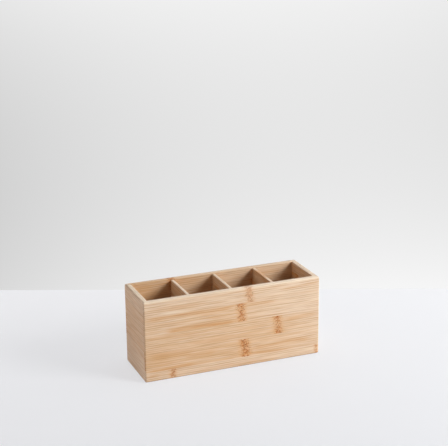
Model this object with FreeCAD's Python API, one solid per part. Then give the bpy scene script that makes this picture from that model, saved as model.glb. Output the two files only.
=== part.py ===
"""Bamboo organizer: an open-topped box with a row of compartments, glued up from bamboo strips.

Sizes are in millimetres. The origin is the middle of the footprint, on the surface that the box stands
on. +X runs along the box, to the right as seen from the front, the front faces -Y, and +Z is up.
Every board is laminated from strips glued edge to edge, and each strip is a solid of its own.
"""
import FreeCAD, Part
import os

from FreeCAD import Vector

# The box as a whole
length = 225.0
depth = 72.0
height = 100.0
compartments = 4

# Boards
wall = 7.0
divider_thickness = 4.0
divider_drop = 1.3
base_thickness = 5.0
base_lift = 3.0

# Joints: mitred corners, dividers in stopped housings in the long panels, base held in a groove all round
housing_depth = 2.0
base_groove_depth = 3.0
glue_clearance = 0.1

# Rounded arrises
outer_arris = 2.0
rim_inner_arris = 0.8
divider_arris = 0.6

# Bamboo strips: full strips lie in the middle of each board, and the two at its edges share the rest.
# A share here is the first strip's part of that rest, counted from the rim or from the front.
strip_width = 23.0
upright_full_strips = 3
base_full_strips = 1
front_top_share = 0.61
back_top_share = 0.45
left_top_share = 0.52
right_top_share = 0.39
divider_top_shares = (0.52, 0.70, 0.39)
base_front_share = 0.49

# How far every cutting tool runs past what it cuts
overrun = 1.0

# Worked out from the sizes above
inner_length = length - 2 * wall
inner_depth = depth - 2 * wall
base_top = base_lift + base_thickness
divider_top = height - divider_drop
divider_pitch = (inner_length + divider_thickness) / compartments
divider_places = [divider_pitch * (number - compartments / 2) for number in range(1, compartments)]


def block(low, high):
    """A plain box between two corners."""
    size = high.sub(low)
    return Part.makeBox(size.x, size.y, size.z, low)


def outer_block():
    """The outside of the whole box, with every arris rounded."""
    plain = block(Vector(-length / 2, -depth / 2, 0), Vector(length / 2, depth / 2, height))
    return plain.makeFillet(outer_arris, plain.Edges)


def mitre_wedge(run, reach):
    """What is left of a board, run long and facing -Y, between the 45 degree cuts at its two ends."""
    outside = run / 2 + overrun
    inside = run / 2 - wall - overrun
    front = -reach - overrun
    back = wall - reach + overrun
    corners = [
        Vector(-outside, front, -overrun),
        Vector(outside, front, -overrun),
        Vector(inside, back, -overrun),
        Vector(-inside, back, -overrun),
    ]
    outline = Part.makePolygon(corners + corners[:1])
    return Part.Face(outline).extrude(Vector(0, 0, height + 2 * overrun))


def wall_board(run, reach, turn):
    """One outer panel before it is cut into strips.

    It is made facing -Y, with its outer face at -reach, and then turned about the vertical axis.
    """
    board = block(Vector(-run / 2, -reach, 0), Vector(run / 2, wall - reach, height))
    rim_edges = [
        edge for edge in board.Edges
        if edge.BoundBox.ZMin > height / 2 and edge.BoundBox.YMin > wall / 2 - reach
    ]
    board = board.makeFillet(rim_inner_arris, rim_edges)
    board = board.common(mitre_wedge(run, reach))
    board.rotate(Vector(0, 0, 0), Vector(0, 0, 1), turn)
    return board.common(outer_block())


def base_groove():
    """The groove that runs round the inside of all four panels and holds the base."""
    half_length = inner_length / 2 + base_groove_depth
    half_depth = inner_depth / 2 + base_groove_depth
    return block(
        Vector(-half_length, -half_depth, base_lift),
        Vector(half_length, half_depth, base_top + glue_clearance),
    )


def divider_housing(place):
    """The pair of upright housings, in the front and back panels, that take one divider's ends.

    They stop at the divider's top, so that the rim runs on unbroken.
    """
    half_width = divider_thickness / 2 + glue_clearance
    half_depth = inner_depth / 2 + housing_depth
    return block(
        Vector(place - half_width, -half_depth, base_top),
        Vector(place + half_width, half_depth, divider_top + glue_clearance),
    )


def divider_board(place):
    """One divider standing on the base, with its two top arrises rounded."""
    half_depth = inner_depth / 2 + housing_depth - glue_clearance
    board = block(
        Vector(place - divider_thickness / 2, -half_depth, base_top),
        Vector(place + divider_thickness / 2, half_depth, divider_top),
    )
    top_edges = [
        edge for edge in board.Edges
        if edge.BoundBox.ZMin > height / 2 and edge.BoundBox.YLength > half_depth
    ]
    return board.makeFillet(divider_arris, top_edges)


def base_board():
    """The base, which stands on the lower side of its groove."""
    half_length = inner_length / 2 + base_groove_depth - glue_clearance
    half_depth = inner_depth / 2 + base_groove_depth - glue_clearance
    return block(Vector(-half_length, -half_depth, base_lift), Vector(half_length, half_depth, base_top))


def strip_seams(extent, full_strips, first_share):
    """Distances of a board's glue seams from the edge that its first strip lies along."""
    first_seam = first_share * (extent - full_strips * strip_width)
    return [first_seam + number * strip_width for number in range(full_strips + 1)]


def write_strips(board, name, bands):
    """Cuts a board into the given bands and writes each strip as a part of its own."""
    for number, band in enumerate(bands, start=1):
        strip = board.common(band).removeSplitter()
        strip.Solids[0].exportStep(f"parts/{name}_strip_{number}.step")


def level_bands(lowest, highest, top_share):
    """Level bands, from the top down, that cut an upright board into its strips."""
    seams = [highest - seam for seam in strip_seams(highest - lowest, upright_full_strips, top_share)]
    tops = [highest + overrun] + seams
    bottoms = seams + [lowest - overrun]
    return [
        block(Vector(-length, -depth, bottom), Vector(length, depth, top))
        for top, bottom in zip(tops, bottoms)
    ]


def lengthwise_bands(front, back):
    """Upright bands, from the front back, that cut the base into its strips."""
    seams = [front + seam for seam in strip_seams(back - front, base_full_strips, base_front_share)]
    starts = [front - overrun] + seams
    ends = seams + [back + overrun]
    return [
        block(Vector(-length, start, -overrun), Vector(length, end, height))
        for start, end in zip(starts, ends)
    ]


def write_panels():
    """The four outer panels, each grooved for the base, the long ones housed for the dividers."""
    panels = [
        ("front_panel", length, depth / 2, 0, front_top_share),
        ("right_end", depth, length / 2, 90, right_top_share),
        ("back_panel", length, depth / 2, 180, back_top_share),
        ("left_end", depth, length / 2, 270, left_top_share),
    ]
    joints = [base_groove()] + [divider_housing(place) for place in divider_places]
    for name, run, reach, turn, top_share in panels:
        board = wall_board(run, reach, turn).cut(joints)
        write_strips(board, name, level_bands(0, height, top_share))


def write_dividers():
    """The dividers, counted from the left."""
    for number, place in enumerate(divider_places, start=1):
        top_share = divider_top_shares[(number - 1) % len(divider_top_shares)]
        bands = level_bands(base_top, divider_top, top_share)
        write_strips(divider_board(place), f"divider_{number}", bands)


def write_base():
    """The base, its strips running the length of the box."""
    board = base_board()
    bands = lengthwise_bands(board.BoundBox.YMin, board.BoundBox.YMax)
    write_strips(board, "base", bands)


os.makedirs("parts", exist_ok=True)
write_panels()
write_dividers()
write_base()
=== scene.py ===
"""Looks of the bamboo organizer: every strip of every board as a sanded, lacquered bamboo surface.

Sizes in the tables and functions below are in millimetres, and MM turns them into the frame's metres.
Each strip is one closed surface: the outline of its section carried along the strip.
"""
import math

import bpy
import numpy as np
from mathutils import Matrix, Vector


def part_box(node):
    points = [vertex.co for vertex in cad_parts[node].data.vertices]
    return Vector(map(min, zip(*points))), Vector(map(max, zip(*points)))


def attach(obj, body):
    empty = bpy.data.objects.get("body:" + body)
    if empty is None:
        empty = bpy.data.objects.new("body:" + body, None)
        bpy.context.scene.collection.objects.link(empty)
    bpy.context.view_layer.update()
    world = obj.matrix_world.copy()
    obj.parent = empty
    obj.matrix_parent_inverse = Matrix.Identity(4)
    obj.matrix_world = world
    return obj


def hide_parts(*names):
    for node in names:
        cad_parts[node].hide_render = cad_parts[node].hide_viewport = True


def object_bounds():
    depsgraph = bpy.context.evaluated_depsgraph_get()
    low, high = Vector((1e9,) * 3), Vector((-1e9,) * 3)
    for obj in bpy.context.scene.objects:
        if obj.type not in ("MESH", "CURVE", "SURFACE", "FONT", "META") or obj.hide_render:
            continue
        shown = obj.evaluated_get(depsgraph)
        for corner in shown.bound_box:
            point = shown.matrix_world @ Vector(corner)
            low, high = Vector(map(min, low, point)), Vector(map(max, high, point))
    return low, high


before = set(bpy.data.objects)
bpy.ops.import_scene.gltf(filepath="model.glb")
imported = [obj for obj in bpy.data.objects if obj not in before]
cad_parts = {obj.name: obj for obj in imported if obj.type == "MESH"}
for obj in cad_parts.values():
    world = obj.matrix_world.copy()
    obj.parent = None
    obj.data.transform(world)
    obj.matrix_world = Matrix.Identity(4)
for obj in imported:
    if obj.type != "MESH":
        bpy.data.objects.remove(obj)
cad_low, cad_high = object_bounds()

MM = 0.001

# Joints and arrises that the strips share with the solids
OUTER_ARRIS = 2.0
RIM_INNER_ARRIS = 0.8
DIVIDER_ARRIS = 0.6
SEAM_CHAMFER = 0.04
GLUE_CLEARANCE = 0.1
UPRIGHT_STRIPS = 5
DIVIDERS = 3
BASE_STRIPS = 3

# How finely a strip's surface is divided, and the turn between two faces that makes their edge sharp
ROW_SPACING = 1.6
STATION_SPACING = 2.0
ARC_STEP = 0.2
FAN_LENGTH = 3.0
FAN_STEPS = 6
SUPPORT_INSET = 0.3
HOUSING_EDGE = 0.03
HOUSING_MARGIN = 0.5
SHARP_DEGREES = 35.0

# Points closer than this are in one place
TOUCHING = 1e-6

# What sanding took off: long shallow waves on the faces, more along the arrises, a dip at each knuckle
FACE_WAVE = 0.05
ARRIS_WEAR = 0.14
KNUCKLE_DIP = 0.05

# Lengths of the sanding's waves, along the strip and across it
SANDING_WAVES = ((97.0, 31.0), (53.0, 17.0), (29.0, 11.0), (13.0, 23.0))

# Knuckles of the strips that show one: place along the strip, half width, lean (mm sideways for each mm
# up), strength, and the share of it that gathers at the strip's two edges. The narrow one on the left end
# is painted shade: the dark line in the front corner's joint.
KNUCKLES = {
    "front_panel_strip_1": [(19.8, 4.2, -0.19, 0.52, 0.0)],
    "front_panel_strip_2": [(9.5, 4.6, -0.02, 1.00, 0.2)],
    "front_panel_strip_3": [(57.0, 4.6, -0.10, 1.00, 0.4)],
    "front_panel_strip_4": [(13.9, 5.4, -0.14, 1.00, 0.1)],
    "front_panel_strip_5": [(-78.3, 3.2, 0.05, 0.70, 0.0), (109.0, 2.6, 0.00, 0.60, 0.0)],
    "left_end_strip_3": [(-35.2, 3.0, 0.00, 1.00, 0.2)],
    # Painted shade, drawn as a knuckle: the dark line in the front corner's joint
    "left_end_strip_4": [(36.0, 0.9, 0.00, 0.90, 0.0)],
    "right_end_strip_2": [(13.0, 4.0, 0.10, 0.80, 0.2)],
    "right_end_strip_4": [(-18.0, 4.4, -0.12, 0.95, 0.1)],
    "back_panel_strip_1": [(54.5, 4.0, 0.15, 0.80, 0.1)],
    "back_panel_strip_2": [(-54.5, 4.2, 0.10, 0.95, 0.3)],
    "back_panel_strip_3": [(12.0, 4.4, -0.16, 1.00, 0.2)],
    "back_panel_strip_4": [(-92.0, 4.0, 0.12, 0.70, 0.0), (88.0, 4.2, -0.10, 0.85, 0.4)],
    "back_panel_strip_5": [(-21.0, 3.6, 0.05, 0.80, 0.1)],
    "divider_1_strip_3": [(6.0, 3.6, 0.10, 0.70, 0.2)],
    "divider_2_strip_4": [(-14.0, 3.8, -0.10, 0.85, 0.1)],
    "divider_3_strip_3": [(18.0, 3.6, 0.08, 0.60, 0.0)],
    "base_strip_1": [(-71.0, 4.0, 0.10, 0.80, 0.2)],
    "base_strip_2": [(33.0, 4.2, -0.12, 0.95, 0.1)],
    "base_strip_3": [(92.0, 4.0, 0.10, 0.75, 0.3)],
}

# Darker streaks of the strips that the photograph shows: from, to, height in the strip as a share, half
# width, strength
STREAKS = {
    "front_panel_strip_1": [
        (56.0, 114.0, 0.55, 1.3, 0.35),
        (-114.0, -30.0, 0.45, 1.2, 0.25),
    ],
    "front_panel_strip_2": [
        (-90.0, 8.0, 0.07, 3.0, 0.68),
        (-114.0, 4.0, 0.88, 2.4, 0.45),
        (-48.0, 0.0, 0.74, 1.2, 0.45),
        (-40.0, 2.0, 0.45, 1.0, 0.35),
        (12.0, 60.0, 0.84, 1.4, 0.50),
    ],
    "front_panel_strip_3": [
        (62.0, 114.0, 0.72, 2.0, 0.40),
        (-114.0, -40.0, 0.80, 2.0, 0.25),
        (-60.0, 30.0, 0.25, 1.6, 0.25),
    ],
    "front_panel_strip_4": [
        (-112.0, -46.0, 0.78, 4.5, 0.38),
        (-70.0, -20.0, 0.58, 2.5, 0.35),
        (-114.0, -70.0, 0.38, 1.2, 0.35),
        (-114.0, -46.0, 0.07, 1.6, 0.75),
        (18.0, 104.0, 0.45, 2.4, 0.40),
        (18.0, 80.0, 0.06, 1.4, 0.50),
    ],
    "front_panel_strip_5": [
        (-114.0, -90.0, 0.60, 2.0, 0.40),
        (-60.0, 60.0, 0.30, 1.4, 0.25),
    ],
    "left_end_strip_1": [(-36.0, 20.0, 0.40, 1.6, 0.20)],
    "left_end_strip_2": [(-10.0, 40.0, 0.65, 1.8, 0.30), (-36.0, 0.0, 0.25, 1.4, 0.20)],
    "left_end_strip_3": [(-36.0, 10.0, 0.55, 1.6, 0.25), (0.0, 40.0, 0.20, 1.4, 0.25)],
    "left_end_strip_4": [(-20.0, 40.0, 0.75, 1.8, 0.25)],
    "left_end_strip_5": [(-36.0, 40.0, 0.30, 1.4, 0.20)],
    "back_panel_strip_1": [(-96.0, -20.0, 0.30, 1.4, 0.25), (10.0, 80.0, 0.65, 1.2, 0.20)],
    "back_panel_strip_2": [(-40.0, 70.0, 0.55, 1.5, 0.30)],
}

# Tones at evenly spaced places along a strip, from 0 for the palest bamboo to 1 for the most toasted
TONES = {
    "front_panel_strip_1": (0.20, 0.40, 0.30, 0.25, 0.15),
    "front_panel_strip_2": (0.50, 0.55, 0.60, 0.25, 0.10),
    "front_panel_strip_3": (0.60, 0.60, 0.60, 0.65, 0.25),
    "front_panel_strip_4": (0.75, 0.60, 0.70, 0.50, 0.35),
    "front_panel_strip_5": (0.30, 0.25, 0.15, 0.25, 0.10),
    "left_end_strip_1": (0.20, 0.20),
    "left_end_strip_2": (0.55, 0.50),
    "left_end_strip_3": (0.55, 0.50),
    "left_end_strip_4": (0.25, 0.25),
    "left_end_strip_5": (0.00, 0.05),
    "back_panel_strip_1": (0.35, 0.40, 0.65, 0.95),
    "back_panel_strip_2": (0.40, 0.45, 0.65, 0.90),
}

# Lightest and darkest tone of the strips of the other boards
BOARD_TONES = {
    "right": (0.4, 0.8),
    "back": (0.3, 0.45),
    "divider": (0.40, 0.70),
    # The base is toasted darkest, partly as painted shade that deepens the inside of the compartments
    "base": (0.9, 1.2),
}

# Painted highlight, partly sanding: how much paler a board's rim and arrises are made, as a tone
RIM_PALE_AND_HIGHLIGHT = {
    "front": 1.00,
    "left": 0.50,
    "right": 0.80,
    "back": 0.30,
    "divider": 0.85,
    "base": 0.00,
}

# How much of that paleness, painted highlight in part, a rounded arris has
ARRIS_PALE_AND_HIGHLIGHT = 0.4

# Painted shade: how much darker the arris that the box stands on is made, as a tone
FOOT_PAINTED_SHADE = 2.60

# How long a streak takes to fade at its ends, how far it bends aside, how long a bend is, and how far, in
# radians, its bends run ahead of those of a streak at the strip's lower edge
STREAK_FADE = 14.0
STREAK_BEND = 0.8
STREAK_BEND_LENGTH = 83.0
STREAK_PHASE = 40.0

# Distance to the nearest knuckle, in its half widths, on a strip that has none
NO_KNUCKLE = 99.0


def low_high(node):
    """Lowest and highest corner of a solid, in millimetres."""
    low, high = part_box(node)
    return np.array(low) / MM, np.array(high) / MM


HALF_LENGTH = cad_high.x / MM
HALF_DEPTH = cad_high.y / MM
BASE_LOW, BASE_HIGH = low_high("base_strip_2")
BASE_FRONT = low_high("base_strip_1")[0][1]
front_low, front_high = low_high("front_panel_strip_2")
WALL = front_high[1] - front_low[1]
DIVIDER_LOW, DIVIDER_HIGH = low_high("divider_2_strip_2")
DIVIDER_TOP = low_high("divider_2_strip_1")[1][2]


def smooth_step(value):
    """0 below 0, 1 above 1, and an even S curve between."""
    value = np.clip(value, 0, 1)
    return value * value * (3 - 2 * value)


def side(start, end):
    """Points along a straight side, with one close to each end so that rounded corners shade cleanly."""
    span = abs(end - start)
    if span < 3 * SUPPORT_INSET:
        return np.array([start, end])
    inset = math.copysign(SUPPORT_INSET, end - start)
    count = max(2, round(span / ROW_SPACING))
    return np.concatenate([[start], np.linspace(start + inset, end - inset, count), [end]])


def corner(centre_depth, centre_height, radius, start_degrees):
    """A quarter circle, turning clockwise from the given angle, as (depth, height) points."""
    steps = max(1, math.ceil(radius / ARC_STEP))
    angles = np.radians(start_degrees - np.linspace(0, 90, steps + 1))
    return np.stack([centre_depth + radius * np.cos(angles), centre_height + radius * np.sin(angles)], -1)


def section(width, low, high, radii, groove=None, stop=None):
    """The closed outline of a strip's section, as (depth from the outer face, height) points.

    It runs up the outer face, over the top, down the inner face and back below. The four radii round the
    outer bottom, outer top, inner top and inner bottom corner. A groove is (depth of its floor, low, high).
    A stop is the height at which the housings in the inner face end.
    """
    outer_bottom, outer_top, inner_top, inner_bottom = radii
    runs = [
        corner(outer_bottom, low + outer_bottom, outer_bottom, 270),
        upright(0, low + outer_bottom, high - outer_top),
        corner(outer_top, high - outer_top, outer_top, 180),
        level(outer_top, width - inner_top, high),
        corner(width - inner_top, high - inner_top, inner_top, 90),
    ]
    if groove:
        floor, groove_low, groove_high = groove
        runs += [
            upright(width, high - inner_top, groove_high),
            level(width, floor, groove_high),
            upright(floor, groove_high, groove_low),
            level(floor, width, groove_low),
            upright(width, groove_low, low + inner_bottom),
        ]
    elif stop:
        runs += [
            upright(width, high - inner_top, stop + HOUSING_EDGE),
            upright(width, stop, low + inner_bottom),
        ]
    else:
        runs.append(upright(width, high - inner_top, low + inner_bottom))
    runs += [
        corner(width - inner_bottom, low + inner_bottom, inner_bottom, 0),
        level(width - inner_bottom, outer_bottom, low),
    ]
    points = np.concatenate(runs)
    step = np.linalg.norm(points - np.roll(points, 1, 0), axis=1)
    return points[step > TOUCHING]


def upright(depth, start, end):
    """Points of an upright side of a section."""
    heights = side(start, end)
    return np.stack([np.full_like(heights, depth), heights], -1)


def level(start, end, height):
    """Points of a level side of a section."""
    depths = side(start, end)
    return np.stack([depths, np.full_like(depths, height)], -1)


def outward(points):
    """Unit normals of a clockwise outline: each tangent turned a quarter turn to the left."""
    tangent = np.roll(points, -1, 0) - np.roll(points, 1, 0)
    normal = np.stack([-tangent[:, 1], tangent[:, 0]], -1)
    return normal / np.linalg.norm(normal, axis=1, keepdims=True)


def waves(along, across, rng):
    """Long shallow waves from 0 to 1, drawn out along the strip.

    They are half the mean of sines along times sines across, of random phase, set about 0.5.
    """
    total = np.zeros(np.broadcast(along, across).shape)
    for wavelength, pitch in SANDING_WAVES:
        phase = rng.uniform(0, 2 * np.pi, 2)
        lengthwise = np.sin(2 * np.pi * along / wavelength + phase[0])
        total += lengthwise * np.sin(2 * np.pi * across / pitch + phase[1])
    return 0.5 + total / (2 * len(SANDING_WAVES))


def knuckle_marks(node, along, share_up, width):
    """Distance to the nearest knuckle, in its half widths, and how strong that knuckle is there.

    The share of its strength that gathers at the strip's edges grows as the distance from the strip's
    middle to the power 1.5.
    """
    nearest = np.full(along.shape, NO_KNUCKLE)
    strength = np.zeros(along.shape)
    for place, half_width, lean, power, gathered in KNUCKLES.get(node, []):
        away = (along - place - lean * (share_up - 0.5) * width) / half_width
        closer = abs(away) < nearest
        at_edges = abs(2 * share_up - 1) ** 1.5
        nearest = np.where(closer, abs(away), nearest)
        strength = np.where(closer, power * (1 - gathered + gathered * at_edges), strength)
    return nearest, strength


def drawn_streaks(length, rng):
    """Three streaks at random for a strip whose streaks the photograph doesn't show.

    Each runs for 0.3 to 0.9 of the strip's length, at any height, has a half width of 1.2 to 3.7 mm and a
    strength of 0.2 to 0.7.
    """
    draws = rng.uniform(0, 1, (3, 5))
    starts = (draws[:, 0] - 0.6) * length
    ends = starts + (0.3 + 0.6 * draws[:, 1]) * length
    return zip(starts, ends, draws[:, 2], 1.2 + 2.5 * draws[:, 3], 0.2 + 0.5 * draws[:, 4])


def streak_marks(streaks, along, share_up, width):
    """How dark the streaks are: soft ended runs with a bell shaped section, bent along a slow sine."""
    total = np.zeros(along.shape)
    for start, end, share, half_width, strength in streaks:
        run = smooth_step((along - start) / STREAK_FADE) * smooth_step((end - along) / STREAK_FADE)
        bend = STREAK_BEND * np.sin(2 * np.pi * along / STREAK_BEND_LENGTH + STREAK_PHASE * share)
        bell = np.exp(-(((share_up - share) * width + bend) / half_width) ** 2)
        total = np.maximum(total, strength * run * bell)
    return total


def strip_piece(node, points, worn, pale_and_painted_light, place, along, material):
    """One strip as a mesh: the section's points carried to every station along the strip.

    place(depth, height, station) gives millimetres in the frame. worn says, for each point of the section,
    how much sanding takes off it: 0 on glued faces, 1 on faces, 2 on rounded arrises. pale says how much
    paler rims and arrises are made, partly by sanding and partly as painted highlight, or, below 0, how
    near it is to what the box stands on, where it gives painted shade.
    """
    rng = np.random.default_rng(sorted(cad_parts).index(node))
    depth = points[:, 0][None, :]
    height = points[:, 1][None, :]
    normal = outward(points)
    low, high = points[:, 1].min(), points[:, 1].max()
    station = np.arange(len(along))[:, None]
    run = along[:, None] + 0 * depth
    share_up = (height + 0 * run - low) / (high - low)
    board = node.split("_")[0]
    drawn_tones = rng.uniform(*BOARD_TONES.get(board, (0, 1)), 2)
    offset = rng.uniform(-1, 1, 3)
    streaks = list(drawn_streaks(along[-1] - along[0], rng))
    away, power = knuckle_marks(node, run, share_up, high - low)
    taken = FACE_WAVE * waves(run, height + 3 * depth, rng) * np.minimum(worn, 1)
    taken += ARRIS_WEAR * waves(3 * run, 0 * height, rng) * np.maximum(worn - 1, 0)
    taken += KNUCKLE_DIP * power * np.exp(-away ** 2) * np.minimum(worn, 1)
    spots = place(depth - taken * normal[:, 0], height - taken * normal[:, 1], station)
    grain = np.stack([run, height + 0 * run, depth + 0 * run], -1) * MM + offset
    streak = streak_marks(STREAKS.get(node, streaks), run, share_up, high - low)
    marks = np.stack([away, power, streak], -1)
    stops = TONES.get(node, drawn_tones)
    tones = np.interp(run, np.linspace(along[0], along[-1], len(stops)), stops)
    # Paler rims and arrises are partly painted highlight; the darker foot arris is painted shade
    tones -= RIM_PALE_AND_HIGHLIGHT[board] * np.maximum(pale_and_painted_light, 0) + FOOT_PAINTED_SHADE * np.minimum(pale_and_painted_light, 0)

    stations, count = run.shape
    row = np.arange(count)
    after = (row + 1) % count
    start = (np.arange(stations - 1) * count)[:, None]
    quads = np.stack([start + row, start + count + row, start + count + after, start + after], -1)
    faces = quads.reshape(-1, 4).tolist()
    faces.append(row.tolist())
    faces.append((row[::-1] + (stations - 1) * count).tolist())

    mesh = bpy.data.meshes.new(f"bamboo_{node}")
    mesh.from_pydata(spots.reshape(-1, 3) * MM, [], faces)
    add_attribute(mesh, "grain", "FLOAT_VECTOR", grain)
    add_attribute(mesh, "marks", "FLOAT_VECTOR", marks)
    add_attribute(mesh, "tone", "FLOAT", tones)
    mesh.shade_smooth()
    mesh.set_sharp_from_angle(angle=math.radians(SHARP_DEGREES))
    mesh.materials.append(material)
    piece = bpy.data.objects.new(f"bamboo_{node}", mesh)
    bpy.context.scene.collection.objects.link(piece)
    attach(piece, "root")
    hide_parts(node)


def add_attribute(mesh, name, kind, values):
    """Stores one value for each point of a mesh."""
    attribute = mesh.attributes.new(name, kind, "POINT")
    key = "vector" if kind == "FLOAT_VECTOR" else "value"
    attribute.data.foreach_set(key, np.ascontiguousarray(values, np.float32).ravel())


def wear_of(points, low, high, width, radii, glued_top, glued_bottom):
    """How much sanding takes off each point of a section, and how much paler that point is made.

    It takes none off where the strip is glued, and most off its large arrises. Rims and arrises are made
    paler, partly by sanding and partly as painted highlight. The arris that the box stands on gets painted
    shade instead, given as less than 0, down to -1 at its lowest.
    """
    depth, height = points[:, 0], points[:, 1]
    on_face = (depth < TOUCHING) | (depth > width - TOUCHING)
    on_rim = (height > high - TOUCHING) & (not glued_top)
    rounded = np.zeros(len(points), bool)
    for radius, at_outer, at_top in zip(radii, (True, True, False, False), (False, True, True, False)):
        if radius > 2 * SEAM_CHAMFER:
            near_side = depth < radius if at_outer else depth > width - radius
            near_end = height > high - radius if at_top else height < low + radius
            rounded |= near_side & near_end & (depth > TOUCHING) & (depth < width - TOUCHING)
    under = (height < low + TOUCHING) & (not glued_bottom)
    worn = np.where(on_face | on_rim, 1.0, 0.0)
    worn = np.where(rounded, 2.0, worn)
    # Painted highlight, partly sanding: all of a rim and a share of a rounded arris
    pale_and_painted_light = np.where(on_rim, 1.0, np.where(rounded, ARRIS_PALE_AND_HIGHLIGHT, 0.0))
    if not glued_bottom:
        # Painted shade on the arris that the box stands on, down to -1 at its lowest
        foot = np.clip((height - low) / radii[0] - 1, -1, 0)
        pale_and_painted_light = np.where(depth < width / 2, pale_and_painted_light * (foot == 0) + foot, pale_and_painted_light)
    return np.where(under, 0.0, worn), pale_and_painted_light


def panel_stations(half, housings):
    """Stations along a mitred panel: straight ones, and fans of them that lean over to the two mitres."""
    straight_end = half - WALL - FAN_LENGTH
    count = 2 * math.ceil(straight_end / STATION_SPACING) + 1
    straight = np.linspace(-straight_end, straight_end, count)
    for low, high in housings:
        straight = straight[(straight < low - HOUSING_MARGIN) | (straight > high + HOUSING_MARGIN)]
        straight = np.concatenate([straight, [low - HOUSING_EDGE, low, high, high + HOUSING_EDGE]])
    straight = np.sort(straight)
    plain = half - OUTER_ARRIS - straight_end
    arc_start = plain / (plain + OUTER_ARRIS * math.pi / 4)
    to_arc = np.linspace(0, arc_start, FAN_STEPS + 1)[1:]
    round_arc = np.linspace(arc_start, 1, FAN_STEPS + 1)[1:]
    fan = np.concatenate([to_arc, round_arc])
    along = np.concatenate([np.full(len(fan), -straight_end), straight, np.full(len(fan), straight_end)])
    lean = np.concatenate([-fan[::-1], np.zeros(len(straight)), fan])
    return along, lean


def panel_place(half, reach, turn, along, lean, housings, housing_floor, housing_ends):
    """Places a mitred panel's points.

    On the straight stations a point keeps its place along the panel. Towards an end, a point deeper than
    the outer arris runs straight to the mitre, and one nearer the outer face runs on and then round the
    arris's arc, an eighth of a turn, so that both come to lie on the 45 degree plane of the mitre.
    """
    straight_end = abs(along).max()
    plain = half - OUTER_ARRIS - straight_end
    whole = plain + OUTER_ARRIS * math.pi / 4
    cos_turn, sin_turn = round(math.cos(turn)), round(math.sin(turn))

    def place(depth, height, station):
        """Millimetres in the frame for points of the section at a station."""
        base = along[station]
        hand = np.sign(lean[station])
        far = abs(lean[station])
        housed = np.zeros(base.shape, bool)
        for low, high in housings:
            housed |= (base > low - TOUCHING) & (base < high + TOUCHING)
        housed = housed & (height > housing_ends[0]) & (height < housing_ends[1])
        depth = np.where(housed, np.minimum(depth, housing_floor), depth)
        inner = straight_end + far * (half - depth - straight_end)
        gone = far * whole
        core = straight_end + np.minimum(gone, plain)
        angle = np.maximum(gone - plain, 0) / OUTER_ARRIS
        rounded = np.maximum(OUTER_ARRIS - depth, 0)
        outer = core + rounded * np.sin(angle)
        near_outer = depth < OUTER_ARRIS
        along_end = np.where(near_outer, outer, inner)
        x = np.where(far > 0, hand * along_end, base)
        y_outer = OUTER_ARRIS - rounded * np.cos(angle)
        y = np.where(near_outer, y_outer, depth) - reach
        z = height + 0 * x
        return np.stack([cos_turn * x - sin_turn * y, sin_turn * x + cos_turn * y, z], -1)

    return place


def panel(name, half, reach, turn, material):
    """The five strips of one outer panel, made facing the front and then turned about the vertical axis."""
    long_panel = half > reach
    housing_half = (DIVIDER_HIGH[0] - DIVIDER_LOW[0]) / 2 + GLUE_CLEARANCE
    dividers = [f"divider_{number}_strip_2" for number in range(1, DIVIDERS + 1)]
    centres = [np.mean([end[0] for end in low_high(divider)]) for divider in dividers]
    housings = [(c - housing_half, c + housing_half) for c in centres] if long_panel else []
    housing_floor = HALF_DEPTH - DIVIDER_HIGH[1] - GLUE_CLEARANCE
    groove_floor = HALF_DEPTH + BASE_FRONT - GLUE_CLEARANCE
    housing_stop = DIVIDER_TOP + GLUE_CLEARANCE
    housing_ends = BASE_HIGH[2], housing_stop + HOUSING_EDGE / 2
    along, lean = panel_stations(half, housings)
    place = panel_place(half, reach, turn, along, lean, housings, housing_floor, housing_ends)
    reached = along + lean * (WALL + FAN_LENGTH)
    for number in range(1, UPRIGHT_STRIPS + 1):
        node = f"{name}_strip_{number}"
        low, high = (corner_of[2] for corner_of in low_high(node))
        top, bottom = number == 1, number == UPRIGHT_STRIPS
        radii = (
            OUTER_ARRIS if bottom else SEAM_CHAMFER,
            OUTER_ARRIS if top else SEAM_CHAMFER,
            RIM_INNER_ARRIS if top else SEAM_CHAMFER,
            SEAM_CHAMFER,
        )
        groove = (groove_floor, BASE_LOW[2], BASE_HIGH[2] + GLUE_CLEARANCE) if bottom else None
        points = section(WALL, low, high, radii, groove, housing_stop if top and long_panel else None)
        worn, pale_and_painted_light = wear_of(points, low, high, WALL, radii, not top, not bottom)
        strip_piece(node, points, worn, pale_and_painted_light, place, reached, material)


def straight_strip(node, axis, radii, glued, material):
    """A square-ended strip of a divider (axis 1) or of the base (axis 0), run along that axis.

    The section's depth runs in from the divider's right face or down from the base's top face, and its
    height runs up the divider or back across the base.
    """
    low, high = low_high(node)
    depth_axis, height_axis = (2, 1) if axis == 0 else (0, 2)
    along = np.linspace(low[axis], high[axis], math.ceil((high[axis] - low[axis]) / STATION_SPACING) + 1)
    width = high[depth_axis] - low[depth_axis]
    ends = low[height_axis], high[height_axis]
    points = section(width, *ends, radii)
    worn, pale_and_painted_light = wear_of(points, *ends, width, radii, *glued)

    def place(depth, height, station):
        """Millimetres in the frame for points of the section at a station."""
        spots = np.empty((*depth.shape, 3))
        spots[..., axis] = along[station]
        spots[..., depth_axis] = high[depth_axis] - depth
        spots[..., height_axis] = height
        return spots

    strip_piece(node, points, worn, pale_and_painted_light, place, along, material)


def linear(colour):
    """An sRGB hex colour as linear red, green, blue and full alpha."""
    values = np.array([int(colour[i:i + 2], 16) for i in (1, 3, 5)]) / 255
    values = np.where(values <= 0.04045, values / 12.92, ((values + 0.055) / 1.055) ** 2.4)
    return (*values, 1.0)


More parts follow.
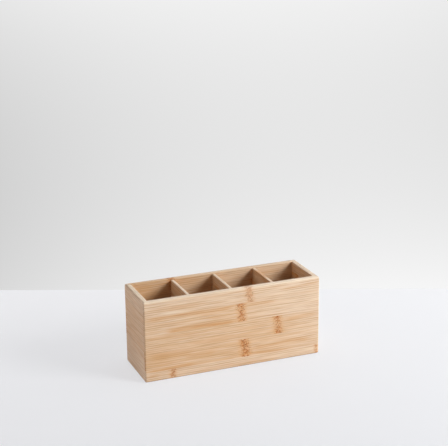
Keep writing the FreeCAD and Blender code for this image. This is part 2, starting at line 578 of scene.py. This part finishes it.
# Settings of nodes that are used again and again
ADD = {"operation": "ADD"}
SUBTRACT = {"operation": "SUBTRACT"}
MULTIPLY = {"operation": "MULTIPLY"}
MULTIPLY_ADD = {"operation": "MULTIPLY_ADD"}
MAXIMUM = {"operation": "MAXIMUM"}
SINE = {"operation": "SINE"}
DOT_PRODUCT = {"operation": "DOT_PRODUCT"}
S_CURVE = {"interpolation_type": "SMOOTHSTEP"}
COLOURS = {"data_type": "RGBA"}


def add_node(tree, kind, settings=None, **inputs):
    """Adds a node, sets its properties, and sets or links its inputs.

    An input goes by its name, with _ for a space, or by its number, as _0. It is given a value, an output
    to link, or a node whose first output in use is linked.
    """
    node = tree.nodes.new(kind)
    for key, value in (settings or {}).items():
        setattr(node, key, value)
    for key, value in inputs.items():
        socket = node.inputs[int(key[1:])] if key[0] == "_" else node.inputs[key.replace("_", " ")]
        if isinstance(value, bpy.types.Node):
            value = next(output for output in value.outputs if output.enabled)
        if isinstance(value, bpy.types.NodeSocket):
            tree.links.new(value, socket)
        else:
            socket.default_value = value
    return node


def new_tree(name):
    """A material, and its node tree, still empty."""
    material = bpy.data.materials.new(name)
    material.use_nodes = True
    material.node_tree.nodes.clear()
    return material, material.node_tree


def pattern_scale(along, across, deep):
    """Noise scale for cells of the given size in millimetres along, across and into the grain."""
    return (1 / (along * MM), 1 / (across * MM), 1 / (deep * MM))


# Patterns of the wood: the size of a cell in millimetres along, across and into the grain, then the detail
# and the roughness of the noise that draws it
WOOD_PATTERNS = {
    "bands": ((80.0, 3.8, 3.2), 2.0, 0.5),
    "fibres": ((40.0, 0.95, 0.8), 2.0, 0.6),
    "pale_fibres": ((36.0, 0.9, 0.8), 1.0, 0.5),
    "bundles": ((14.0, 0.8, 0.7), 1.0, 0.5),
    "line_shift": ((48.0, 3.6, 3.0), 2.0, 0.5),
    "line_groups": ((45.0, 3.0, 2.5), 1.0, 0.5),
    "ragged_edge": ((3.0, 2.0, 2.0), 2.0, 0.6),
    "blotches": ((2.8, 2.2, 2.2), 2.0, 0.6),
}

# How far the whole grain sways aside, and the size of its swaying
SWAY = 1.0
SWAY_CELL = (120.0, 50.0, 50.0)

# Fibre lines really lie closer together: at this pitch they still show from where the photograph was taken.
# The shift is how far noise moves them, in radians of that pitch.
LINE_PITCH = 2.4
LINE_SHIFT = 5.5

# Room that each speck of a knuckle has, and the depth of its pit
SPECK_CELL = (1.5, 1.4, 1.4)
SPECK_DEPTH = 0.05


def lacquered_bamboo():
    """Flat-pressed natural bamboo, sanded along the grain under a thin matt lacquer.

    The eye sees a warm straw ground with long fine fibre lines, toasted streaks, a tone of its own for each
    strip, and a band of dark specks at every knuckle. Rims and arrises are paler, partly from sanding and
    partly as painted highlight, and the arris that the box stands on is darker with painted shade. The
    lacquer gives a soft sheen at low angles.
    """
    material, tree = new_tree("flat_pressed_bamboo_matt_lacquer")
    grain = add_node(tree, "ShaderNodeAttribute", {"attribute_name": "grain"}).outputs["Vector"]
    marks = add_node(tree, "ShaderNodeAttribute", {"attribute_name": "marks"}).outputs["Vector"]
    tone = add_node(tree, "ShaderNodeAttribute", {"attribute_name": "tone"}).outputs["Fac"]
    away, power, streak = add_node(tree, "ShaderNodeSeparateXYZ", Vector=marks).outputs

    stretched = add_node(tree, "ShaderNodeVectorMath", MULTIPLY, _0=grain, _1=pattern_scale(*SWAY_CELL))
    sway = add_node(tree, "ShaderNodeTexNoise", Vector=stretched, Scale=1.0, Detail=1.0)
    sway = add_node(tree, "ShaderNodeMath", MULTIPLY_ADD, _0=sway, _1=SWAY * MM, _2=-SWAY / 2 * MM)
    aside = add_node(tree, "ShaderNodeCombineXYZ", Y=sway)
    grain = add_node(tree, "ShaderNodeVectorMath", ADD, _0=grain, _1=aside)
    pattern = {}
    for name, (cell, detail, roughness) in WOOD_PATTERNS.items():
        stretched = add_node(tree, "ShaderNodeVectorMath", MULTIPLY, _0=grain, _1=pattern_scale(*cell))
        pattern[name] = add_node(tree, "ShaderNodeTexNoise", Vector=stretched, Scale=1.0, Detail=detail,
                                 Roughness=roughness)

    # Fibre lines: a sine across the grain, one turn for each pitch, shifted by noise
    line_turn = LINE_PITCH / (2 * math.pi)
    turns = (0.0, *pattern_scale(1.0, line_turn, line_turn)[1:])
    across = add_node(tree, "ShaderNodeVectorMath", DOT_PRODUCT, _0=grain, _1=turns)
    shifted = add_node(tree, "ShaderNodeMath", MULTIPLY_ADD, _0=pattern["line_shift"], _1=LINE_SHIFT,
                       _2=across)
    lines = add_node(tree, "ShaderNodeMath", SINE, _0=shifted)

    # How toasted the ground is: the strip's tone, with bands. The tone carries painted light too
    toast = add_node(tree, "ShaderNodeMath", MULTIPLY_ADD, _0=tone, _1=0.7, _2=-0.10)
    toast = add_node(tree, "ShaderNodeMath", MULTIPLY_ADD, _0=pattern["bands"], _1=0.3, _2=toast)

    # Knuckles: a distance made ragged, and specks of random size, one to a cell
    ragged = add_node(tree, "ShaderNodeMath", MULTIPLY_ADD, _0=pattern["ragged_edge"], _1=2.4, _2=-1.2)
    edge = add_node(tree, "ShaderNodeMath", ADD, _0=away, _1=ragged)
    spread = add_node(tree, "ShaderNodeVectorMath", MULTIPLY, _0=grain, _1=pattern_scale(*SPECK_CELL))
    cells = add_node(tree, "ShaderNodeTexVoronoi", Vector=spread, Scale=1.0).outputs
    chance, paleness, _ = add_node(tree, "ShaderNodeSeparateXYZ", Vector=cells["Color"]).outputs
    dot_size = add_node(tree, "ShaderNodeMath", MULTIPLY_ADD, _0=chance, _1=0.55, _2=-0.10)
    centre = cells["Distance"]
    dot = add_node(tree, "ShaderNodeMath", SUBTRACT, _0=centre, _1=dot_size)

    # Colours laid one over another: colour, strength, what it goes with, and the values that bring it in,
    # each with where it brings in none of the colour and where it brings in all
    layers = [
        # Toasted ground, dark fibres, fibre lines, pale fibres and bundles of fibres
        ("#DBAF7D", 1.00, 1.0, [(toast, 0.0, 0.9)]),
        ("#C79160", 0.35, 1.0, [(pattern["fibres"], 0.42, 0.66)]),
        ("#B58555", 0.52, 1.0, [(lines, -1.0, 1.0), (pattern["line_groups"], 0.26, 0.66)]),
        ("#EBD9C4", 0.40, 1.0, [(pattern["pale_fibres"], 0.48, 0.70)]),
        ("#A2764E", 0.12, 1.0, [(pattern["bundles"], 0.52, 0.78)]),
        # Rims and arrises (sanding and painted highlight), the foot arris (painted shade), and streaks
        ("#F4E3CC", 0.85, 1.0, [(tone, 0.15, -0.45)]),
        ("#7C5335", 0.60, 1.0, [(tone, 1.2, 2.2)]),
        ("#D09353", 1.00, streak, [(pattern["fibres"], 0.18, 0.58)]),
        # A knuckle's haze, its blotches, the pale gaps between them, and its specks
        ("#D2924F", 0.62, power, [(edge, 2.2, 0.2)]),
        ("#B4672A", 0.85, power, [(pattern["blotches"], 0.40, 0.56), (edge, 1.1, 0.4)]),
        ("#F0D6B0", 0.50, power, [(paleness, 0.60, 0.80), (centre, 0.60, 0.30), (edge, 1.1, 0.4)]),
        ("#6E3409", 0.90, power, [(dot, 0.08, -0.08), (edge, 1.5, 0.6)]),
    ]
    colour = linear("#E9D2B7")
    for laid, strength, share, steps in layers:
        for value, none_at, all_at in steps:
            step = add_node(tree, "ShaderNodeMapRange", S_CURVE, Value=value, From_Min=none_at,
                            From_Max=all_at)
            share = add_node(tree, "ShaderNodeMath", MULTIPLY, _0=share, _1=step)
        cover = add_node(tree, "ShaderNodeMath", MULTIPLY, _0=share, _1=strength)
        colour = add_node(tree, "ShaderNodeMix", COLOURS, _0=cover, _6=colour, _7=linear(laid))
    speck = share

    roughness = add_node(tree, "ShaderNodeMath", MULTIPLY_ADD, _0=pattern["fibres"], _1=0.16, _2=0.50)
    raised = add_node(tree, "ShaderNodeMath", MULTIPLY, _0=pattern["bundles"], _1=0.6)
    relief = add_node(tree, "ShaderNodeMath", SUBTRACT, _0=raised, _1=speck)
    bump = add_node(tree, "ShaderNodeBump", Strength=0.30, Distance=SPECK_DEPTH * MM, Height=relief)
    shader = add_node(tree, "ShaderNodeBsdfPrincipled", Base_Color=colour, Roughness=roughness,
                      Specular_IOR_Level=0.25, Normal=bump)
    add_node(tree, "ShaderNodeOutputMaterial", Surface=shader)
    return material


def build_organizer():
    """All the boards, strip by strip."""
    bamboo = lacquered_bamboo()
    panel("front_panel", HALF_LENGTH, HALF_DEPTH, 0, bamboo)
    panel("right_end", HALF_DEPTH, HALF_LENGTH, math.pi / 2, bamboo)
    panel("back_panel", HALF_LENGTH, HALF_DEPTH, math.pi, bamboo)
    panel("left_end", HALF_DEPTH, HALF_LENGTH, -math.pi / 2, bamboo)
    for divider in range(1, DIVIDERS + 1):
        for number in range(1, UPRIGHT_STRIPS + 1):
            top = number == 1
            arris = DIVIDER_ARRIS if top else SEAM_CHAMFER
            radii = (SEAM_CHAMFER, arris, arris, SEAM_CHAMFER)
            straight_strip(f"divider_{divider}_strip_{number}", 1, radii, (not top, True), bamboo)
    for number in range(1, BASE_STRIPS + 1):
        straight_strip(f"base_strip_{number}", 0, (SEAM_CHAMFER,) * 4, (True, True), bamboo)


# Where the photograph was taken from, in degrees and millimetres
CAMERA_PLACE = (-506.5, -1275.7, 596.9)
CAMERA_YAW, CAMERA_PITCH, CAMERA_ROLL = 21.765, 17.200, -0.639
CAMERA_LENS = 97.22
CAMERA_SENSOR = 36.0
CAMERA_REACH = 20000.0

# The wall behind: how far it stands from the middle of the box, and which way it faces
WALL_DISTANCE = 238.0
WALL_YAW = 23.0
STAGE_SIZE = 6000.0

# Tones of the wall and the floor as they are seen, as the factors that stage_shade takes. Their glow
# carries painted light and shade that change across them
WALL_SHADE = (0.66, 1.33, -2.19, -1.95, 5.80, -1.85)
FLOOR_SHADE = (0.79, 0.27, 0.58, 0.0, 0.0, 0.0)
FLOOR_LIFT = 0.7


def stand(thing, right, up, back, place):
    """Puts a camera or a lamp into the scene, turned to three directions, at a place in millimetres."""
    matrix = np.eye(4)
    matrix[:3, :3] = np.stack([right, up, back], -1)
    matrix[:3, 3] = np.array(place) * MM
    thing.matrix_world = Matrix(matrix.tolist())
    bpy.context.scene.collection.objects.link(thing)


def photo_camera():
    """The camera, from its place, the direction it looks in, and its roll about that direction."""
    yaw, pitch, roll = np.radians([CAMERA_YAW, CAMERA_PITCH, CAMERA_ROLL])
    ahead = np.array([math.sin(yaw) * math.cos(pitch), math.cos(yaw) * math.cos(pitch), -math.sin(pitch)])
    level_right = np.array([math.cos(yaw), -math.sin(yaw), 0])
    level_up = np.cross(level_right, ahead)
    right = math.cos(roll) * level_right + math.sin(roll) * level_up
    up = math.cos(roll) * level_up - math.sin(roll) * level_right
    camera = bpy.data.objects.new("photo_camera", bpy.data.cameras.new("photo_camera"))
    camera.data.lens = CAMERA_LENS
    camera.data.sensor_width = CAMERA_SENSOR
    camera.data.clip_end = CAMERA_REACH * MM
    stand(camera, right, up, -ahead, CAMERA_PLACE)
    bpy.context.scene.camera = camera


def stage_sheet(name, corners, material):
    """A flat four-cornered sheet of the stage, corners in millimetres."""
    mesh = bpy.data.meshes.new(name)
    mesh.from_pydata(np.array(corners) * MM, [], [(0, 1, 2, 3)])
    mesh.materials.append(material)
    sheet = bpy.data.objects.new(name, mesh)
    bpy.context.scene.collection.objects.link(sheet)


def stage_shade(tree, first, second, factors, dark, light):
    """A tone between two colours that changes evenly over a sheet of the stage: painted light and shade.

    The share of the light colour is a + b x + c y + d x x + e y y + f x y, with x and y the sheet's two
    coordinates in metres.
    """
    level_part, x_part, y_part, xx_part, yy_part, xy_part = factors
    along = add_node(tree, "ShaderNodeMath", MULTIPLY_ADD, _0=second, _1=xy_part, _2=x_part)
    along = add_node(tree, "ShaderNodeMath", MULTIPLY_ADD, _0=first, _1=xx_part, _2=along)
    up = add_node(tree, "ShaderNodeMath", MULTIPLY_ADD, _0=second, _1=yy_part, _2=y_part)
    share = add_node(tree, "ShaderNodeMath", MULTIPLY_ADD, _0=first, _1=along, _2=level_part)
    share = add_node(tree, "ShaderNodeMath", MULTIPLY_ADD, _0=second, _1=up, _2=share)
    return add_node(tree, "ShaderNodeMix", COLOURS, _0=share, _6=linear(dark), _7=linear(light))


def seen_ray(tree):
    """1 for rays from the camera, straight or off something shiny, and 0 for rays that carry light."""
    path = add_node(tree, "ShaderNodeLightPath").outputs
    seen = path["Is Camera Ray"]
    for other in ("Is Glossy Ray", "Is Transmission Ray"):
        seen = add_node(tree, "ShaderNodeMath", MAXIMUM, _0=seen, _1=path[other])
    return seen


def floor_material():
    """A matt white table top: pale and slightly cool, lifted by a glow of painted light where it is seen to
    keep shadows faint.
    """
    material, tree = new_tree("matt_white_table")
    place = add_node(tree, "ShaderNodeTexCoord").outputs["Object"]
    x, y, _ = add_node(tree, "ShaderNodeSeparateXYZ", Vector=place).outputs
    tone = stage_shade(tree, x, y, FLOOR_SHADE, "#C8C9CC", "#FBFCFF")
    paint = add_node(tree, "ShaderNodeBsdfDiffuse", Color=linear("#EDEEF2"))
    glow = add_node(tree, "ShaderNodeEmission", Color=tone, Strength=1.0)
    lift = add_node(tree, "ShaderNodeMath", MULTIPLY, _0=seen_ray(tree), _1=FLOOR_LIFT)
    shader = add_node(tree, "ShaderNodeMixShader", _0=lift, _1=paint, _2=glow)
    add_node(tree, "ShaderNodeOutputMaterial", Surface=shader)
    return material


def wall_material():
    """A pale grey painted wall, seen only from its front so that views from behind pass through it. Where
    it is seen it glows with painted light and shade.
    """
    material, tree = new_tree("pale_painted_wall")
    place = add_node(tree, "ShaderNodeTexCoord").outputs["Object"]
    x, _, z = add_node(tree, "ShaderNodeSeparateXYZ", Vector=place).outputs
    tone = stage_shade(tree, x, z, WALL_SHADE, "#C8C8C8", "#FBFBFB")
    paint = add_node(tree, "ShaderNodeBsdfDiffuse", Color=linear("#E4E4E3"))
    glow = add_node(tree, "ShaderNodeEmission", Color=tone, Strength=1.0)
    front = add_node(tree, "ShaderNodeMixShader", _0=seen_ray(tree), _1=paint, _2=glow)
    behind = add_node(tree, "ShaderNodeNewGeometry").outputs["Backfacing"]
    clear = add_node(tree, "ShaderNodeBsdfTransparent")
    shader = add_node(tree, "ShaderNodeMixShader", _0=behind, _1=front, _2=clear)
    add_node(tree, "ShaderNodeOutputMaterial", Surface=shader)
    return material


def build_stage():
    """A white table top and a pale wall behind it."""
    half = STAGE_SIZE / 2
    floor_corners = [(-half, -half, 0), (half, -half, 0), (half, half, 0), (-half, half, 0)]
    stage_sheet("floor", floor_corners, floor_material())
    yaw = math.radians(WALL_YAW)
    foot = WALL_DISTANCE * np.array([math.sin(yaw), math.cos(yaw), 0])
    across = half * np.array([math.cos(yaw), -math.sin(yaw), 0])
    rise = np.array([0, 0, half])
    wall_corners = [foot - across, foot + across, foot + across + rise, foot - across + rise]
    stage_sheet("wall", wall_corners, wall_material())


# Soft boxes: name, degrees to the right of the front, degrees up, distance, size, how bright a white card
# at the box that faces it looks, and colour
SOFT_BOXES = [
    ("key_soft_box", 47.0, 27.0, 2200.0, 915.0, 0.975, "#FFFFFF"),
    ("overhead_soft_box", 0.0, 89.0, 1300.0, 500.0, 0.08, "#FFFFFF"),
    ("fill_card", -90.0, 14.0, 1300.0, 1000.0, 0.31, "#FFF1EC"),
]
ROOM_STRENGTH = 0.005


def studio_light():
    """A large soft box from the front right, a weak one overhead, a warm card at the left, and a dim room.

    A lamp's power is the brightness of that white card, times the square of pi times the distance.
    """
    for name, azimuth, elevation, distance, size, brightness, colour in SOFT_BOXES:
        turn, rise = math.radians(azimuth), math.radians(elevation)
        out = math.cos(rise)
        direction = np.array([math.sin(turn) * out, -math.cos(turn) * out, math.sin(rise)])
        right = np.array([math.cos(turn), math.sin(turn), 0])
        lamp = bpy.data.lights.new(name, "AREA")
        lamp.shape = "SQUARE"
        lamp.size = size * MM
        lamp.color = linear(colour)[:3]
        lamp.energy = brightness * (math.pi * distance * MM) ** 2
        holder = bpy.data.objects.new(name, lamp)
        stand(holder, right, np.cross(direction, right), direction, direction * distance)

    world = bpy.data.worlds.new("white_room")
    world.use_nodes = True
    tree = world.node_tree
    tree.nodes.clear()
    room = add_node(tree, "ShaderNodeBackground", Color=linear("#FFFFFF"), Strength=ROOM_STRENGTH)
    seen = add_node(tree, "ShaderNodeBackground", Color=linear("#E8E8E7"), Strength=1.0)
    shown = add_node(tree, "ShaderNodeMixShader", _0=seen_ray(tree), _1=room, _2=seen)
    add_node(tree, "ShaderNodeOutputWorld", Surface=shown)
    bpy.context.scene.world = world


build_organizer()
build_stage()
studio_light()
photo_camera()
bpy.context.scene.view_settings.view_transform = "Standard"

bpy.context.view_layer.update()
